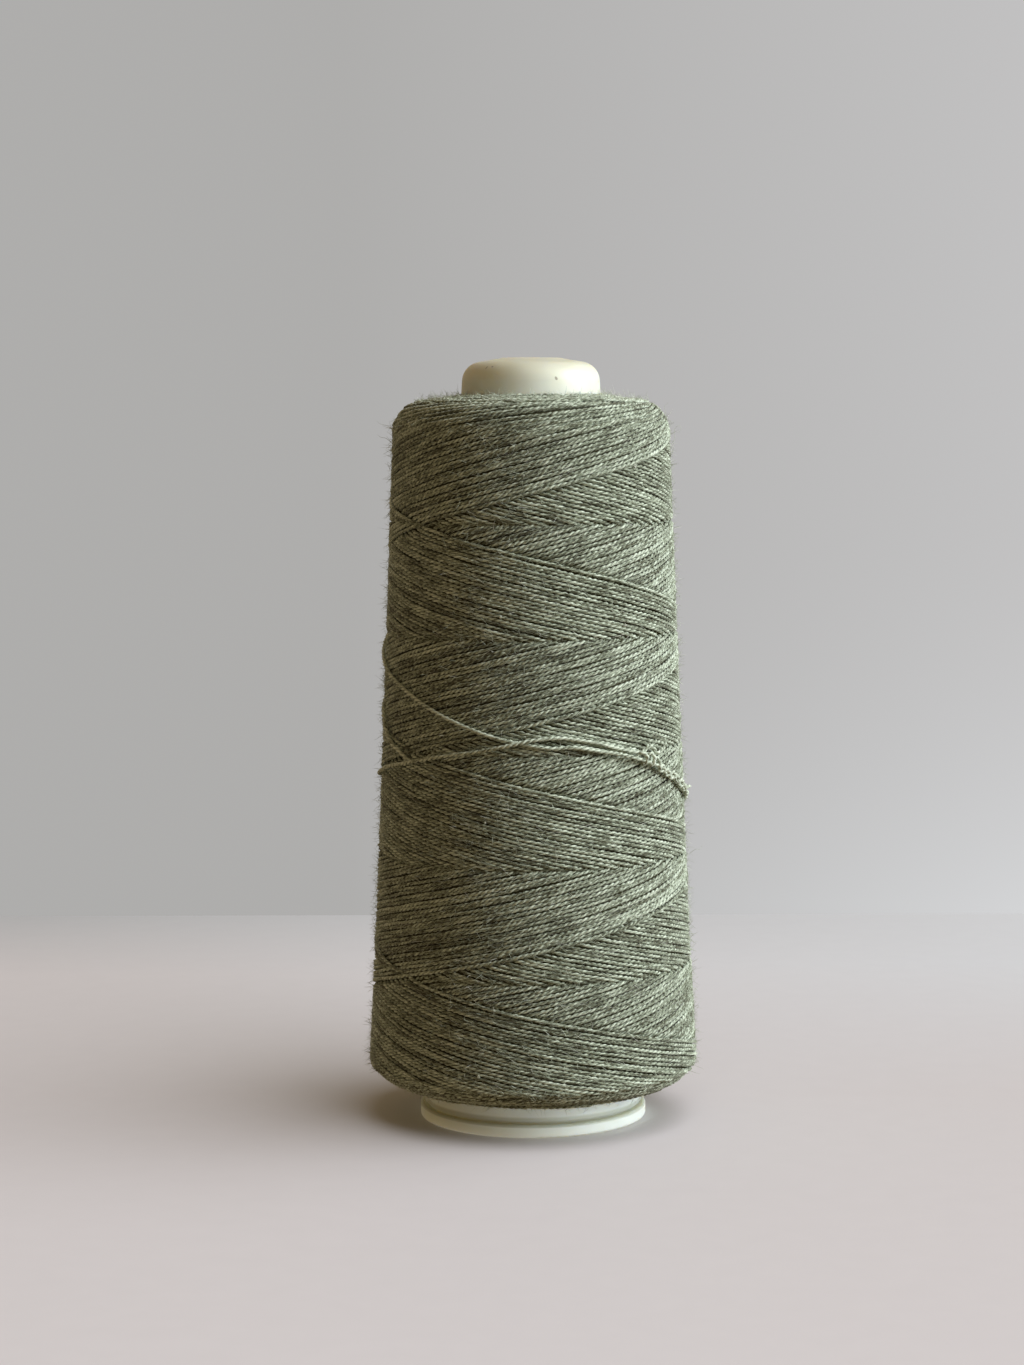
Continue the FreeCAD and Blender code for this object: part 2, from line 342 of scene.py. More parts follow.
def addBackdrop():
    # glows with its own painted light and shade and lights nothing
    columns = 96
    angles = np.arange(columns) * fullTurn / columns
    ring = np.stack([np.sin(angles), np.cos(angles)], axis=1) * backdrop["radius"]
    corners = [(x * mm, y * mm, z * mm) for z in (backdrop["fromZ"], backdrop["toZ"]) for x, y in ring]
    faces = []
    for column in range(columns):
        after = (column + 1) % columns
        faces.append((column, after, columns + after, columns + column))
    mesh = bpy.data.meshes.new("backdrop")
    mesh.from_pydata(corners, [], faces)
    mesh.polygons.foreach_set("use_smooth", [True] * len(faces))
    wall = newObject("backdrop", mesh)

    material, tree, shader = newMaterial("backdrop glowing with painted light")
    parts = addPlace(tree)[1]
    # painted light and shade across the backdrop, lighter to the right and low on the right
    right = addRange(tree, parts["X"], backdrop["leftX"], backdrop["rightX"], 0.0, 1.0)
    low = addRange(tree, parts["Z"], backdrop["lowZ"], backdrop["lowFadeZ"], 1.0, 0.0)
    low = addMath(tree, "MULTIPLY", low, low)
    colour = addMix(tree, "MIX", low, backdrop["right"], backdrop["lowRightPaintedLight"])
    colour = addMix(tree, "MIX", right, backdrop["left"], colour)
    tree.links.new(colour, shader.inputs["Emission Color"])
    shader.inputs["Emission Strength"].default_value = 1.0
    shader.inputs["Base Color"].default_value = (0, 0, 0, 1)
    shader.inputs["Specular IOR Level"].default_value = 0
    material.cycles.emission_sampling = "NONE"
    mesh.materials.append(material)
    wall.visible_diffuse = False
    wall.visible_glossy = False
    wall.visible_transmission = False
    wall.visible_shadow = False


def addAreaLight(name):
    facts = lights[name]
    lamp = bpy.data.lights.new(name, "AREA")
    lamp.shape = "SQUARE"
    lamp.size = facts["size"] * mm
    lamp.energy = facts["power"]
    lamp.color = facts["colour"]
    holder = newObject(name, lamp)
    around = Matrix.Rotation(math.radians(facts["azimuth"]), 4, "Z")
    lift = Matrix.Rotation(math.radians(90 - facts["elevation"]), 4, "X")
    away = Matrix.Translation((0, 0, facts["away"] * mm))
    centre = Matrix.Translation((0, 0, aimZ * mm))
    holder.matrix_world = centre @ around @ lift @ away
    holder.light_linking.receiver_collection = litGroups[facts["on"]]
    return holder


def addLight():
    addAreaLight("window")
    addAreaLight("wideWindow")
    addAreaLight("farWindow").visible_glossy = False    # no glint on the foot's edge
    addAreaLight("floorBounce").light_linking.blocker_collection = litGroups["cone"]
    world = bpy.data.worlds.new("soft room")
    world.use_nodes = True
    background = world.node_tree.nodes["Background"]
    background.inputs["Color"].default_value = (*lights["room"], 1)
    scene.world = world
    scene.view_settings.view_transform = "Standard"


addFloor()
addBackdrop()
addLight()
print("floor, backdrop and lights placed")


# Outline of the wound yarn

yarnFloor, yarnCeiling = (corner.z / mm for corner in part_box("yarn_package"))

package = {
    "sideLowZ": 15.0,
    "sideHighZ": 152.0,
    "radiusLow": 36.95,     # outside the yarn at sideLowZ and sideHighZ
    "radiusHigh": 30.85,
    "waist": 0.36,
    "waistBias": 0.66,      # below 1 moves the waist down
    "lowRise": 1.0,         # the lower face rises outwards
    "highDrop": 2.0,        # the upper face falls outwards
    "shoulderLow": 5.6,
    "shoulderHigh": 6.6,
    "coneLow": 24.5,        # bare cone at its seat, and at its top
    "coneLowZ": 3.6,
    "coneHigh": 15.0,
    "coneHighZ": 170.0,
    "spacing": 0.1,
    "sideFacing": 0.75,     # outward share of the normal from which the outline counts as side
    "backingDepth": 0.92,
}

winding = {
    "strands": 54,          # side by side in one family
    "climb": 49.2,          # along the package in one turn
    "crossZ": 133.8,        # where the newest strands of both families cross
    "crossAzimuth": -52.0,
    "flatLow": (14.0, 8.5),     # heights over which the strands turn more level
    "flatHigh": (151.5, 157.5),
    "turnLow": 11.0,        # past these winding heights the family on top stays on top for a while
    "turnHigh": 158.2,
    "holdLow": 14.0,
    "holdHigh": 10.0,
    "crowdShoulder": 0.62,      # share of the even spacing that is left there
    "crowdFace": 0.23,
    "dip": 0.74,            # how far a strand goes down to pass under others
    "middleDepth": 0.48,    # of a strand on top, and its least distance from the ends, in diameters
    "endInset": 0.45,
    "rowRun": 1.5,
    "seamRun": 1.0,
    "hiddenRun": 3.2,
    "seamLift": 0.16,
    "strayShort": 0.11,
    "strayOwn": 0.05,
    "strayAcross": 0.13,
    "strayEnds": 0.55,
    "strayOut": 0.11,
}

yarn = {
    "diameter": 0.87,
    "plyRadius": 0.32,      # shares of the diameter
    "plyOffset": 0.18,
    "reliefStray": 0.4,
    "plyAngles": (-90, -45, 0, 45),
    "twistLength": 2.9,
    "twistStray": 0.7,
    "fibreTwist": 12.0,     # the fibres lie nearly along the yarn
    "ringSpacing": 0.36,
    "facesPerPiece": 46000,
}


def coneRadius(height):
    share = (height - package["coneLowZ"]) / (package["coneHighZ"] - package["coneLowZ"])
    return package["coneLow"] + (package["coneHigh"] - package["coneLow"]) * share


def sideRadius(height):
    share = (height - package["sideLowZ"]) / (package["sideHighZ"] - package["sideLowZ"])
    return package["radiusLow"] + (package["radiusHigh"] - package["radiusLow"]) * share


def packageOutline():
    # half section from the cone below the yarn, up the side, to the cone above it
    lowCornerZ = yarnFloor + package["lowRise"]
    highCornerZ = yarnCeiling - package["highDrop"]
    start = np.array([coneRadius(yarnFloor), yarnFloor])
    lowCorner = np.array([sideRadius(lowCornerZ), lowCornerZ])
    highCorner = np.array([sideRadius(highCornerZ), highCornerZ])
    end = np.array([coneRadius(yarnCeiling), yarnCeiling])
    spacing = package["spacing"]
    lowArc = roundCorner(start, lowCorner, highCorner, package["shoulderLow"], spacing)
    highArc = roundCorner(lowCorner, highCorner, end, package["shoulderHigh"], spacing)
    points = np.vstack([start, lowArc, highArc, end])
    travelled = travel(points)
    reach = np.arange(0, travelled[-1], spacing)
    radius = np.interp(reach, travelled, points[:, 0])
    height = np.interp(reach, travelled, points[:, 1])
    share = np.clip((height - package["sideLowZ"]) / (package["sideHighZ"] - package["sideLowZ"]), 0, 1)
    radius = radius - package["waist"] * np.sin(math.pi * share ** package["waistBias"])
    normal = unit(np.stack([np.gradient(height), -np.gradient(radius)], axis=1))

    # the winding height runs evenly up the side, and fast where the strands lie level at the ends
    side = normal[:, 0] > package["sideFacing"]
    flat = [np.interp(z, height[side], reach[side]) for z in winding["flatLow"] + winding["flatHigh"]]
    level = ease((flat[0] - reach) / (flat[0] - flat[1])) + ease((reach - flat[2]) / (flat[3] - flat[2]))
    face = ease((package["sideFacing"] - normal[:, 0]) / 0.7)
    crowdShoulder, crowdFace = winding["crowdShoulder"], winding["crowdFace"]
    crowd = 1 - (1 - crowdShoulder) * level - (crowdShoulder - crowdFace) * face
    windingHeight = np.r_[0, np.cumsum(np.diff(reach) / crowd[1:])]
    middle = len(reach) // 2
    windingHeight += height[middle] - windingHeight[middle]
    return {"reach": reach, "radius": radius, "height": height, "normalOut": normal[:, 0],
            "normalUp": normal[:, 1], "crowd": crowd, "windingHeight": windingHeight}


outline = packageOutline()


def onPackage(azimuth, reach, depth):
    # points and outward directions on the outline, a depth below it
    radius = np.interp(reach, outline["reach"], outline["radius"])
    height = np.interp(reach, outline["reach"], outline["height"])
    out = np.interp(reach, outline["reach"], outline["normalOut"])
    up = np.interp(reach, outline["reach"], outline["normalUp"])
    angle = np.radians(azimuth)
    outward = unit(np.stack([out * np.sin(angle), -out * np.cos(angle), up], axis=1))
    foot = np.stack([radius * np.sin(angle), -radius * np.cos(angle), height], axis=1)
    return foot - outward * np.asarray(depth).reshape(-1, 1), outward


def reachAt(height):
    # reach along the outline for a height on the side
    side = outline["normalOut"] > package["sideFacing"]
    return np.interp(height, outline["height"][side], outline["reach"][side])


# Two-ply yarn as a mesh

def plySection():
    # outline of two touching plies, as angles and distances from the yarn's middle
    half = np.radians(yarn["plyAngles"])
    angles = np.r_[half, half + math.pi]
    ply = yarn["plyRadius"] * yarn["diameter"]
    offset = yarn["plyOffset"] * yarn["diameter"]
    along = np.abs(np.cos(angles))
    reach = offset * along + np.sqrt(ply ** 2 - (offset * np.sin(angles)) ** 2)
    crown = (reach - reach.min()) / (reach.max() - reach.min())
    return angles, reach, crown


sectionAngles, sectionReach, sectionCrown = plySection()


def yarnRun(points, outward, size, tone, dice):
    # one stretch of yarn: its rings' points, its own length and the place of each point in its fibres
    travelled = travel(points)
    forward = unit(np.gradient(points, axis=0))
    across = unit(np.cross(forward, outward))
    up = np.cross(across, forward)
    twistLength = yarn["twistLength"] * dice.uniform(0.94, 1.06)
    twist = dice.uniform(0, fullTurn) - fullTurn * travelled / twistLength
    twist = twist + yarn["twistStray"] * wander(travelled, 5.0, dice)
    angle = sectionAngles[None, :] + twist[:, None]
    relief = 1 + yarn["reliefStray"] * wander(travelled, 2.6, dice)
    middle = sectionReach.mean()
    reach = (middle + (sectionReach[None, :] - middle) * relief[:, None]) * size[:, None]
    ring = points[:, None, :]
    ring = ring + (np.cos(angle) * reach)[:, :, None] * up[:, None, :]
    ring = ring + (np.sin(angle) * reach)[:, :, None] * across[:, None, :]
    sides = len(sectionAngles)
    fibre = np.empty((len(points), sides, 3))
    fibre[:, :, 0] = travelled[:, None] + dice.uniform(0, 5000)
    fibreAngle = angle + fullTurn * travelled[:, None] / yarn["fibreTwist"]
    fibre[:, :, 1] = sectionReach * np.cos(fibreAngle)
    fibre[:, :, 2] = sectionReach * np.sin(fibreAngle)
    crown = np.broadcast_to(sectionCrown, (len(points), sides))
    shade = np.broadcast_to(tone[:, None], (len(points), sides))
    return {"ring": ring, "travelled": travelled, "fibre": fibre, "crown": crown, "tone": shade}


def yarnMesh(name, runs):
    # all runs of a piece in one mesh, with its own flat map for the fibres' colour
    sides = len(sectionAngles)
    girth = math.pi * yarn["diameter"]
    total = sum(run["travelled"][-1] for run in runs)
    rows = max(1, int(math.sqrt(total / girth)))
    rowLength = total / rows * 1.02
    vertices = []
    fibres = []
    crowns = []
    tones = []
    corners = []
    counts = []
    maps = []
    start = 0
    laid = 0.0
    for run in runs:
        rings = len(run["travelled"])
        vertices.append(run["ring"].reshape(-1, 3))
        fibres.append(run["fibre"].reshape(-1, 3))
        crowns.append(run["crown"].reshape(-1))
        tones.append(run["tone"].reshape(-1))
        ring, side = np.meshgrid(np.arange(rings - 1), np.arange(sides), indexing="ij")
        nextSide = (side + 1) % sides
        here = start + ring * sides
        there = here + sides
        quads = np.stack([here + side, here + nextSide, there + nextSide, there + side], axis=2)
        corners.append(quads.reshape(-1))
        counts.append(np.full(quads.size // 4, 4))
        place = laid + run["travelled"]
        row = np.floor(place[:-1] / rowLength)
        left = ((place[:-1] - row * rowLength) / rowLength * 0.99)[ring]
        right = ((place[1:] - row * rowLength) / rowLength * 0.99)[ring]
        low = (row[ring] + 0.06 + 0.88 * side / sides) / (rows + 1)
        high = (row[ring] + 0.06 + 0.88 * (side + 1) / sides) / (rows + 1)
        quadMap = np.stack([left, low, left, high, right, high, right, low], axis=2)
        maps.append(quadMap.reshape(-1))
        # closed ends
        for cap in (np.arange(sides)[::-1] + start, np.arange(sides) + start + (rings - 1) * sides):
            corners.append(cap)
            counts.append(np.array([sides]))
            spot = np.linspace(0, fullTurn, sides, endpoint=False)
            fan = np.stack([0.5 + 0.3 * np.cos(spot), rows + 0.5 + 0.3 * np.sin(spot)], axis=1)
            maps.append(fan.reshape(-1) / (rows + 1))
        start += rings * sides
        laid += run["travelled"][-1]
    vertices = np.concatenate(vertices) * mm
    corners = np.concatenate(corners)
    counts = np.concatenate(counts)
    starts = np.r_[0, np.cumsum(counts)[:-1]]
    mesh = newMesh(name, vertices, corners, starts, np.concatenate(maps), {
        "fibrePlace": np.concatenate(fibres),
        "plyCrown": np.concatenate(crowns),
        "strandTone": np.concatenate(tones),
    })
    mesh.materials.append(yarnMaterial)
    return newObject(name, mesh)


# Yarn finish

yarnFinish = {
    "dark": (0.070, 0.070, 0.035),
    "middle": (0.335, 0.385, 0.285),
    "pale": (0.76, 0.84, 0.71),
    "deepPaintedShade": (0.060, 0.056, 0.033),
    "fuzz": (0.50, 0.53, 0.43),
    "nep": (0.93, 0.94, 0.88),
    "roughness": 0.92,
    "sheen": 0.25,
}


def addYarnMaterial():
    material, tree, shader = newMaterial("heathered yarn")
    fibre = addNode(tree, "ShaderNodeAttribute", attribute_name="fibrePlace").outputs["Vector"]
    crown = addNode(tree, "ShaderNodeAttribute", attribute_name="plyCrown").outputs["Fac"]
    tone = addNode(tree, "ShaderNodeAttribute", attribute_name="strandTone").outputs["Fac"]
    streaks = addNoise(tree, addMapping(tree, fibre, (0.75, 3.6, 3.6)), 1.0, 4, 0.7)
    patches = addNoise(tree, addMapping(tree, fibre, (0.16, 1.1, 1.1), (0, 40, 9)), 1.0, 2)
    mixed = addMath(tree, "MULTIPLY", streaks, 0.7)
    for value, share in ((patches, 0.3), (tone, 0.06)):
        mixed = addMath(tree, "ADD", mixed, addMath(tree, "MULTIPLY", value, share))
    colour = addRamp(tree, mixed, [
        (0.415, yarnFinish["dark"]),
        (0.50, yarnFinish["middle"]),
        (0.585, yarnFinish["pale"]),
    ])
    # painted shade in the creases between the plies, darker where the section dips in
    creasePaintedShade = addRange(tree, crown, 0.0, 0.7, 0.5, 1.0)
    colour = addMix(tree, "MULTIPLY", 1.0, colour, creasePaintedShade)
    tree.links.new(colour, shader.inputs["Base Color"])
    shader.inputs["Roughness"].default_value = yarnFinish["roughness"]
    shader.inputs["Specular IOR Level"].default_value = 0.25
    shader.inputs["Sheen Weight"].default_value = yarnFinish["sheen"]
    shader.inputs["Sheen Roughness"].default_value = 0.6
    addBump(tree, shader, streaks, 0.5, 0.00012)
    return material


def addBackingMaterial():
    material, tree, shader = newMaterial("yarn in shadow")
    place = addNode(tree, "ShaderNodeTexCoord").outputs["Object"]
    streaks = addNoise(tree, addMapping(tree, place, (300, 300, 1400)), 1.0, 3)
    # painted shade: these near black colours stand for the shade between the strands
    colour = addRamp(tree, streaks, [(0.35, yarnFinish["deepPaintedShade"]), (0.7, yarnFinish["dark"])])
    tree.links.new(colour, shader.inputs["Base Color"])
    shader.inputs["Roughness"].default_value = 0.95
    shader.inputs["Specular IOR Level"].default_value = 0.1
    addBump(tree, shader, streaks, 0.6, 0.0003)
    return material


yarnMaterial = addYarnMaterial()
backingMaterial = addBackingMaterial()


# Winding

def addBacking():
    # body of older turns behind the strands that show, coloured near black as painted shade in the gaps
    # between them
    steps = np.arange(0, len(outline["reach"]), 12)
    columns = 180
    azimuths = np.linspace(0, 360, columns, endpoint=False)
    rings = []
    for index in steps:
        reach = np.full(columns, outline["reach"][index])
        rings.append(onPackage(azimuths, reach, np.full(columns, package["backingDepth"]))[0])
    vertices = np.concatenate(rings) * mm
    faces = []
    for ring in range(len(steps) - 1):
        for column in range(columns):
            after = (column + 1) % columns
            low = ring * columns
            faces.append((low + column, low + after, low + columns + after, low + columns + column))
    mesh = bpy.data.meshes.new("yarn_body")
    mesh.from_pydata(vertices.tolist(), [], faces)
    mesh.polygons.foreach_set("use_smooth", [True] * len(faces))
    mesh.materials.append(backingMaterial)
    piece = newObject("yarn_body", mesh)
    ride(piece, "yarn_package")


def strandPath(family, number, dice):
    # family 1 climbs with the azimuth and family -1 falls; number counts back from the newest strand
    climb = winding["climb"]
    step = climb / winding["strands"]
    age = number * step
    fromHeight, toHeight = outline["windingHeight"][0], outline["windingHeight"][-1]
    if family < 0:
        fromHeight, toHeight = toHeight, fromHeight
    turnsFrom = (family * (fromHeight - winding["crossZ"]) - age) / climb
    turnsTo = (family * (toHeight - winding["crossZ"]) - age) / climb
    turns = np.arange(turnsFrom, turnsTo, 0.5 / 360)
    azimuth = winding["crossAzimuth"] + 360 * turns
    windingHeight = winding["crossZ"] + family * (climb * turns + age)
    reach = np.interp(windingHeight, outline["windingHeight"], outline["reach"])
    crowd = np.interp(reach, outline["reach"], outline["crowd"])

    stray = winding["strayAcross"] + (winding["strayEnds"] - winding["strayAcross"]) * (1 - crowd)
    reach = reach + stray * (0.7 * wander(turns, 0.085, dice) + 0.5 * wander(turns, 0.31, dice))
    reach = reach + winding["strayOwn"] * dice.uniform(-1, 1) * crowd
    reach = reach + winding["strayShort"] * wander(turns, 0.027, dice)
    inset = winding["endInset"] * yarn["diameter"]
    reach = np.clip(reach, inset, outline["reach"][-1] - inset)

    # on top until the crossing family is newer, then under it until that family's seam
    held = np.clip(winding["turnLow"] - windingHeight, 0, winding["holdLow"])
    held = family * (held - np.clip(windingHeight - winding["turnHigh"], 0, winding["holdHigh"]))
    other = (-2 * climb * turns - age - held) % climb
    lead = other - (age + held) % climb + 0.5 * step * family
    onTop = ease((lead + 0.2) / winding["rowRun"]) * ease((climb - other - 0.4) / winding["seamRun"])

    # towards the ends the strands crowd, and first every other one goes under, then half of the rest
    if number % 2 == 1:
        goesAt = (0.92, 0.52)
    elif number % 4 == 2:
        goesAt = (0.42, 0.26)
    else:
        goesAt = (0.2, 0.1)
    shift = dice.uniform(-0.05, 0.05)
    shown = ease((crowd + shift - goesAt[1]) / (goesAt[0] - goesAt[1]))
    depth = winding["middleDepth"] * yarn["diameter"] + winding["dip"] * ((1 - onTop) + (1 - shown))
    depth = depth - winding["strayOut"] * wander(turns, 0.06, dice)
    depth = depth - winding["seamLift"] * math.exp(-number)

    points, outward = onPackage(azimuth, reach, depth)
    travelled = travel(points)
    rings = np.arange(0, travelled[-1], yarn["ringSpacing"])
    even = alongLine(rings, travelled, points)
    evenOut = unit(alongLine(rings, travelled, outward))
    visible = np.interp(rings, travelled, onTop * (shown > 0.03)) > 0.02
    bare = np.interp(rings, travelled, onTop * shown) > 0.9
    hidden = int(winding["hiddenRun"] / yarn["ringSpacing"])
    visible = np.convolve(visible, np.ones(2 * hidden + 1), "same") > 0.5
    visible = visible & (np.interp(rings, travelled, shown) > 0.01)
    return even, evenOut, rings, visible, bare


perches = []    # places on open strands where fuzz can stand: point, outward and along


def strandRuns(family, number, dice):
    points, outward, rings, visible, bare = strandPath(family, number, dice)
    thickness = 1 + 0.05 * wander(rings, 7.0, dice) + 0.05 * wander(rings, 31.0, dice)
    tone = 0.6 * wander(rings, 46.0, dice) + 0.4 * dice.uniform(-1, 1)
    along = unit(np.gradient(points, axis=0))
    for index in np.flatnonzero(bare)[dice.integers(0, 4)::4]:
        perches.append((points[index], outward[index], along[index]))
    edges = np.flatnonzero(np.diff(np.r_[0, visible.astype(int), 0]))
    runs = []
    for first, last in zip(edges[::2], edges[1::2]):
        if last - first > 8:
            part = slice(first, last)
            runs.append(yarnRun(points[part], outward[part], thickness[part], tone[part], dice))
    return runs


def addWinding():
    sides = len(sectionAngles)
    total = 0.0
    faces = 0
    for label, family, seed in (("rising", 1, 11), ("falling", -1, 12)):
        dice = np.random.default_rng(seed)
        waiting = []
        held = 0
        made = 0
        for number in range(winding["strands"]):
            for run in strandRuns(family, number, dice):
                size = len(run["travelled"]) * sides
                if held + size > yarn["facesPerPiece"]:
                    made += 1
                    finishWinding(f"yarn_{label}_{made:02d}", waiting)
                    waiting = []
                    held = 0
                waiting.append(run)
                held += size
                faces += size
                total += run["travelled"][-1]
        finishWinding(f"yarn_{label}_{made + 1:02d}", waiting)
    print("wound", round(total / 1000, 1), "m of yarn,", faces, "faces")


def finishWinding(name, runs):
    ride(yarnMesh(name, runs), "yarn_outer_turns")


addBacking()
addWinding()


# Free end

# Each point of the route is an azimuth, a height and a lift above the rest of the free end.
freeEnd = {
    "lift": 0.42,
    "nearRadius": 35.0,     # of the package here, to measure the route in mm
    "size": 1.08,          # share of the wound yarn's thickness
    "firstLaps": [
        (-168.0, 121.4, 0), (-140.0, 115.6, 0), (-112.0, 110.4, 0), (-87.0, 104.8, 0),
        (-72.1, 101.1, 0), (-57.4, 98.2, 0), (-37.4, 93.5, 0), (-21.1, 90.1, 0),
        (-10.0, 88.3, 0), (5.7, 86.6, 0), (15.2, 86.7, 0), (25.0, 85.6, 0),
        (35.0, 84.5, 0.6), (53.0, 81.2, 0.8), (63.0, 78.4, 0.3), (76.0, 74.6, 0),
        (96.0, 71.0, 0), (122.0, 69.2, 0), (150.0, 69.2, 0), (180.0, 70.8, 0),
        (210.0, 72.8, 0), (240.0, 75.0, 0), (270.0, 77.4, 0), (289.6, 80.1, 0),
        (306.0, 82.0, 0), (326.0, 84.4, 0), (340.0, 85.7, 0.1), (350.0, 87.0, 0.9),
        (361.0, 88.4, 0.7), (371.0, 88.7, 0), (382.5, 87.6, 0), (393.0, 86.0, 0),
        (401.0, 84.9, 0.2),
    ],
    "hitch": [
        (402.5, 84.7, 1.0), (404.3, 84.1, 1.5), (405.2, 82.6, 0.8), (404.3, 82.0, 0.1),
        (405.6, 83.7, 0.1), (407.4, 84.3, 1.1), (408.6, 83.0, 1.4), (408.2, 81.5, 0.5),
        (409.2, 82.9, 0.0), (411.0, 83.1, 0.9), (412.0, 81.6, 1.1),
    ],
    "tail": [
        (414.0, 80.1, 0.4), (417.5, 80.2, 0.9), (421.5, 78.1, 0.3), (425.5, 78.3, 0.8),
        (429.5, 75.9, 0.3), (433.5, 75.8, 0.8), (439.0, 73.4, 0.5), (447.0, 73.2, 0.2),
        (456.0, 72.6, 0), (474.0, 71.5, 0), (488.0, 71.1, 0),
    ],
    "partner": [
        (411.5, 82.0, 0.2), (414.5, 81.1, 0.9), (418.0, 79.0, 0.3), (422.0, 79.4, 0.9),
        (426.0, 77.1, 0.3), (430.0, 77.0, 0.9), (434.5, 74.7, 0.3), (438.0, 75.0, 0.9),
        (441.0, 74.9, 1.6),
    ],
    "spur": [
        (400.5, 83.6, 0.3), (403.5, 84.9, 0.9), (406.6, 85.9, 0.9), (409.2, 85.5, 0.6),
        (411.5, 84.2, 0.9), (415.5, 84.9, 0.7), (418.5, 85.5, 0.1),
    ],
    "proudTurn": [
        (-88.0, 95.0, -0.9), (-80.0, 92.4, -0.1), (-71.1, 88.7, 0.3), (-66.0, 86.3, 0.3),
        (-58.9, 84.5, 0.2), (-52.0, 82.4, -0.5), (-48.0, 81.4, -1.0),
    ],
}


def smoothLine(nodes, spacing):
    # Catmull-Rom line through the nodes, measured along the package in mm
    scale = np.array([np.radians(1.0) * freeEnd["nearRadius"], 1.0, 1.0])
    flat = np.array(nodes, float) * scale
    flat = np.vstack([2 * flat[0] - flat[1], flat, 2 * flat[-1] - flat[-2]])
    line = []
    for before, here, there, after in zip(flat, flat[1:], flat[2:], flat[3:]):
        count = max(2, int(np.linalg.norm(there - here) / spacing))
        share = (np.arange(count) / count)[:, None]
        line.append(0.5 * (2 * here + (there - before) * share
                           + (2 * before - 5 * here + 4 * there - after) * share ** 2
                           + (3 * here - before - 3 * there + after) * share ** 3))
    line = np.vstack(line + [flat[-2:-1]])
    return line / scale


def freeRun(nodes, dice):
    line = smoothLine(nodes, 0.2)
    depth = -(freeEnd["lift"] + line[:, 2])
    points, outward = onPackage(line[:, 0], reachAt(line[:, 1]), depth)
    travelled = travel(points)
    rings = np.arange(0, travelled[-1], 0.25)
    even = alongLine(rings, travelled, points)
    evenOut = unit(alongLine(rings, travelled, outward))
    thickness = freeEnd["size"] * (1 + 0.06 * wander(rings, 6.0, dice))
    thickness = thickness * (0.15 + 0.85 * ease((travelled[-1] - rings) / 1.5))
    tone = 0.9 + 0.3 * wander(rings, 30.0, dice)
    return yarnRun(even, evenOut, thickness, tone, dice)


def addFreeEnd():
    dice = np.random.default_rng(31)
    whole = freeEnd["firstLaps"] + freeEnd["hitch"] + freeEnd["tail"]
    routes = (whole, freeEnd["partner"], freeEnd["spur"], freeEnd["proudTurn"])
    runs = [freeRun(nodes, dice) for nodes in routes]
    ride(yarnMesh("free_end_yarn", runs), "yarn_free_end")
    print("free end", round(runs[0]["travelled"][-1], 1), "mm")


addFreeEnd()


# Fuzz, neps and stray fibres

fuzz = {
    "standing": {"count": 12000, "length": (0.7, 2.6), "rise": (0.3, 1.1), "radius": (0.022, 0.046)},
    "lying": {"count": 14000, "length": (1.2, 4.0), "rise": (0.02, 0.2), "radius": (0.020, 0.036)},
    "points": 6,
    "sides": 3,
    "perPiece": 6000,
    "packageRadius": 34.0,  # the fibres follow the package's own curve
    "rootSide": 0.42,       # in strand diameters
    "rootOut": 0.40,
    "lyingLean": 0.55,
    "curl": 0.22,
}

# Neps are small knots of short pale fibres, by azimuth and height.
neps = {
    "seen": [
        (-2.9, 144.6), (45.8, 146.3), (-44.0, 114.6), (-17.1, 70.6), (-18.5, 15.9), (74.0, 17.0),
        (37.2, 152.5),
    ],
    "more": 26,
    "moreZ": (14, 150),
    "fibres": 26,
    "radius": (0.16, 0.34),
    "thickness": (0.03, 0.055),
    "bend": 2.6,            # radians that one fibre turns through
    "lift": 0.05,
}

strayThickness = 0.045
strayTone = 0.2
strayFibres = [
    [(30.6, 0, 150.4), (31.9, 0, 151.5), (32.1, 0, 152.8), (31.7, 0, 153.7), (32.2, 0, 154.8),
     (33.1, 0, 155.0), (33.4, 0, 154.3), (33.0, 0, 153.5), (32.3, 0, 153.4)],
    [(-30.0, -6, 154.0), (-31.6, -6, 155.2), (-33.0, -6, 155.4), (-34.2, -6, 156.3)],
    [(-30.4, -4, 151.0), (-32.0, -4, 152.4), (-33.2, -4, 152.6), (-34.0, -4, 153.2)],
    [(28.8, -8, 156.2), (29.6, -8, 157.8), (29.2, -8, 159.1), (30.2, -8, 160.0)],
    [(-22.5, -12, 157.6), (-23.6, -12, 159.2), (-25.0, -12, 159.6), (-25.6, -12, 160.6)],
    [(35.2, -6, 60.0), (36.4, -6, 60.9), (37.3, -6, 60.7), (37.9, -6, 61.8)],
]


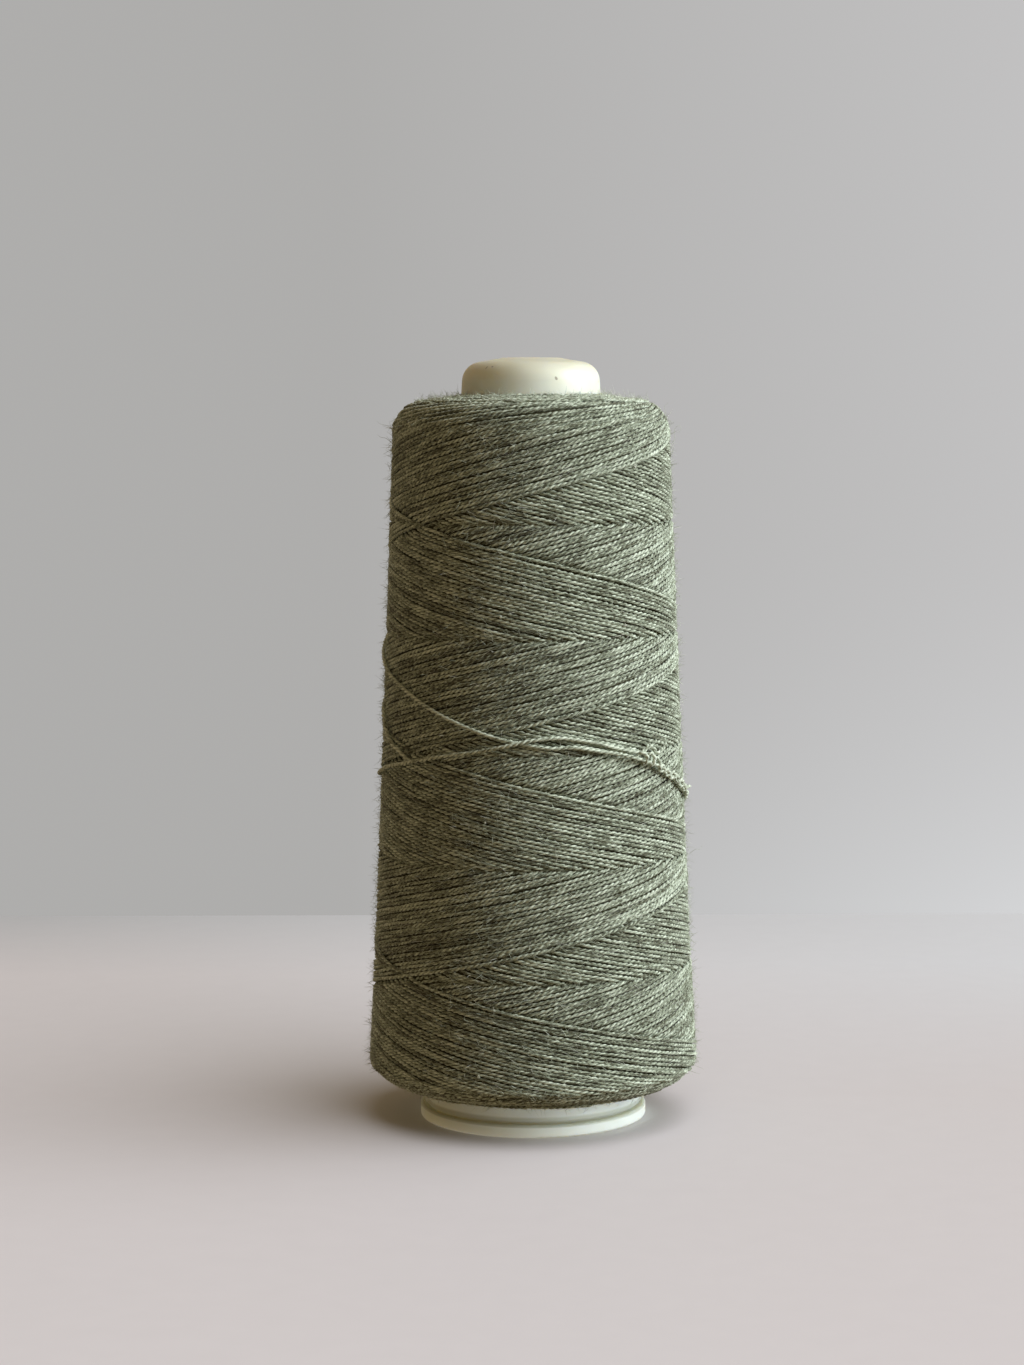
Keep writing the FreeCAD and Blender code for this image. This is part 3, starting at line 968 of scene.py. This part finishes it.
def fibreMesh(name, paths, radii, tones, material):
    # thin tapering fibres, each with its own small tile in the map
    count, steps = paths.shape[:2]
    sides = fuzz["sides"]
    forward = unit(np.gradient(paths, axis=1))
    helper = np.where(np.abs(forward[:, :, 2:]) < 0.8, [[[0, 0, 1.0]]], [[[1.0, 0, 0]]])
    across = unit(np.cross(forward, helper))
    up = np.cross(forward, across)
    taper = 1 - 0.75 * np.linspace(0, 1, steps) ** 2
    angle = np.arange(sides) * fullTurn / sides
    reach = (radii[:, None] * taper[None, :])[:, :, None, None]
    ring = np.cos(angle)[None, None, :, None] * across[:, :, None, :]
    ring = ring + np.sin(angle)[None, None, :, None] * up[:, :, None, :]
    vertices = (paths[:, :, None, :] + ring * reach).reshape(-1, 3) * mm
    counted = (np.arange(count), np.arange(steps - 1), np.arange(sides))
    fibre, step, side = np.meshgrid(*counted, indexing="ij")
    nextSide = (side + 1) % sides
    here = (fibre * steps + step) * sides
    there = here + sides
    quads = np.stack([here + side, there + side, there + nextSide, here + nextSide], axis=3)
    cells = math.ceil(math.sqrt(count))
    left = (fibre % cells + 0.1 + 0.8 * step / (steps - 1)) / cells
    right = (fibre % cells + 0.1 + 0.8 * (step + 1) / (steps - 1)) / cells
    low = (fibre // cells + 0.1 + 0.8 * side / sides) / cells
    high = (fibre // cells + 0.1 + 0.8 * (side + 1) / sides) / cells
    tiles = np.stack([left, low, right, low, right, high, left, high], axis=3)
    starts = np.arange(0, quads.size, 4)
    mesh = newMesh(name, vertices, quads.reshape(-1), starts, tiles.reshape(-1), {
        "strandTone": np.repeat(tones, steps * sides),
    })
    mesh.materials.append(material)
    ride(newObject(name, mesh), "yarn_outer_turns")


def addFuzzMaterial():
    material, tree, shader = newMaterial("loose fibres")
    tone = addNode(tree, "ShaderNodeAttribute", attribute_name="strandTone").outputs["Fac"]
    colour = addRamp(tree, addRange(tree, tone, -1.0, 1.0, 0.0, 1.0), [
        (0.0, yarnFinish["middle"]),
        (0.5, yarnFinish["fuzz"]),
        (0.8, yarnFinish["pale"]),
        (1.0, yarnFinish["nep"]),
    ])
    tree.links.new(colour, shader.inputs["Base Color"])
    shader.inputs["Roughness"].default_value = 0.8
    return material


def addFuzz():
    dice = np.random.default_rng(51)
    material = addFuzzMaterial()
    share = np.linspace(0, 1, fuzz["points"])[None, :, None]
    spots, outs, alongs = (np.array(column) for column in zip(*perches))
    for label in ("standing", "lying"):
        facts = fuzz[label]
        count = facts["count"]
        pick = dice.integers(0, len(spots), count)
        out, along = outs[pick], alongs[pick]
        across = np.cross(along, out)
        lean = dice.uniform(-1, 1, (count, 1))
        ahead = dice.choice([-1, 1], (count, 1))
        rise = dice.uniform(*facts["rise"], (count, 1))
        if label == "standing":
            heading = unit(out * rise + along * dice.uniform(-1, 1, (count, 1)) + across * lean)
        else:
            heading = unit(along * ahead + across * lean * fuzz["lyingLean"] + out * rise)
        length = dice.uniform(*facts["length"], (count, 1))
        side = dice.uniform(-fuzz["rootSide"], fuzz["rootSide"], (count, 1)) * yarn["diameter"]
        rootOut = fuzz["rootOut"] * yarn["diameter"] - 0.6 * side ** 2
        start = spots[pick] + across * side + out * rootOut
        curl = unit(dice.normal(size=(count, 3)))
        drop = length ** 2 / (2 * fuzz["packageRadius"])
        if label == "lying":
            drop = drop + 0.3 * rise * length
        paths = start[:, None, :] + heading[:, None, :] * length[:, None, :] * share
        bend = share * (share - 0.4 * lean[:, None, :])
        paths = paths + curl[:, None, :] * fuzz["curl"] * length[:, None, :] * bend
        paths = paths - out[:, None, :] * drop[:, None, :] * share ** 2
        radii = dice.uniform(*facts["radius"], count)
        tones = dice.uniform(-1, 1, count)
        for number, first in enumerate(range(0, count, fuzz["perPiece"])):
            part = slice(first, first + fuzz["perPiece"])
            fibreMesh(f"yarn_fuzz_{label}_{number + 1}", paths[part], radii[part], tones[part], material)
    print("fuzz laid:", fuzz["standing"]["count"] + fuzz["lying"]["count"], "fibres")

    moreAzimuths = dice.uniform(0, 360, neps["more"])
    moreHeights = dice.uniform(*neps["moreZ"], neps["more"])
    places = np.vstack([neps["seen"], np.stack([moreAzimuths, moreHeights], axis=1)])
    lifts = np.full(len(places), -neps["lift"])
    centres = onPackage(places[:, 0], reachAt(places[:, 1]), lifts)[0]
    centres = np.repeat(centres, neps["fibres"], axis=0)
    count = len(centres)
    reach = np.repeat(dice.uniform(*neps["radius"], len(places)), neps["fibres"])[:, None, None]
    turnFrom = unit(dice.normal(size=(count, 1, 3)))
    turnTo = unit(dice.normal(size=(count, 1, 3)))
    turned = neps["bend"] * share
    paths = centres[:, None, :] + reach * (turnFrom * np.cos(turned) + turnTo * np.sin(turned))
    radii = dice.uniform(*neps["thickness"], count)
    fibreMesh("yarn_neps", paths, radii, dice.uniform(0.7, 1, count), material)

    # single long fibres that stand clear of the outline
    for number, stray in enumerate(strayFibres):
        nodes = np.array(stray, float)
        along = np.linspace(0, len(nodes) - 1, fuzz["points"] * 3)
        path = alongLine(along, np.arange(len(nodes)), nodes)
        path[1:-1] = (path[:-2] + path[1:-1] * 2 + path[2:]) / 4
        name = f"yarn_stray_{number + 1}"
        fibreMesh(name, path[None], np.array([strayThickness]), np.array([strayTone]), material)


addFuzz()


# Moulded cone

conePlastic = {
    "ivory": (0.82, 0.79, 0.64),
    "shade": (0.79, 0.755, 0.60),
    "footPaintedCoolLight": (0.82, 0.93, 1.05),    # painted light: the foot is tinted cooler and greyer than the nose, for the neutral light that falls there
    "coolLightFade": (0.012, 0.022),        # metres up the cone
    # painted shade in the recessed groove, with its band and fades
    "groovePaintedShade": (0.66, 0.66, 0.62),
    "grooveBand": (2.5, 4.1),
    "grooveFade": (0.3, 0.5),           # below the band and above it
    "speck": (0.16, 0.13, 0.09),
    "roughness": (0.37, 0.52),
}


def addConeFinish():
    material, tree, shader = newMaterial("ivory moulded plastic")
    place = addNode(tree, "ShaderNodeTexCoord").outputs["Object"]
    mottle = addNoise(tree, place, 60.0, 4, 0.6)
    grain = addNoise(tree, place, 900.0, 2)
    colour = addRamp(tree, mottle, [(0.35, conePlastic["shade"]), (0.6, conePlastic["ivory"])])
    height = addPlace(tree)[1]["Z"]
    # painted light: cooler tint towards the foot
    coolLightShare = addRange(tree, height, *conePlastic["coolLightFade"], 1.0, 0.0)
    colour = addMix(tree, "MULTIPLY", coolLightShare, colour, conePlastic["footPaintedCoolLight"])
    # painted shade in the groove's band
    bandLow, bandHigh = conePlastic["grooveBand"]
    fadeLow, fadeHigh = conePlastic["grooveFade"]
    above = addRange(tree, height, (bandLow - fadeLow) * mm, bandLow * mm, 0.0, 1.0)
    below = addRange(tree, height, bandHigh * mm, (bandHigh + fadeHigh) * mm, 1.0, 0.0)
    band = addMath(tree, "MULTIPLY", above, below)
    colour = addMix(tree, "MULTIPLY", band, colour, conePlastic["groovePaintedShade"])
    specks = addRange(tree, addNoise(tree, place, 420.0, 1), 0.78, 0.81, 0.0, 0.7)
    colour = addMix(tree, "MIX", specks, colour, conePlastic["speck"])
    tree.links.new(colour, shader.inputs["Base Color"])
    rough = addRange(tree, mottle, 0.3, 0.7, *conePlastic["roughness"])
    tree.links.new(rough, shader.inputs["Roughness"])
    shader.inputs["Subsurface Weight"].default_value = 0.8
    shader.inputs["Subsurface Radius"].default_value = (1.0, 0.8, 0.55)
    shader.inputs["Subsurface Scale"].default_value = 0.008
    addBump(tree, shader, grain, 0.08, 0.0001)
    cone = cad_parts["cone_core"]
    cone.data.materials.clear()
    cone.data.materials.append(material)
    litGroups["spool"].objects.link(cone)
    litGroups["cone"].objects.link(cone)


addConeFinish()
print("cone finished")


# Last update of the scene

bpy.context.view_layer.update()
print("scene finished")
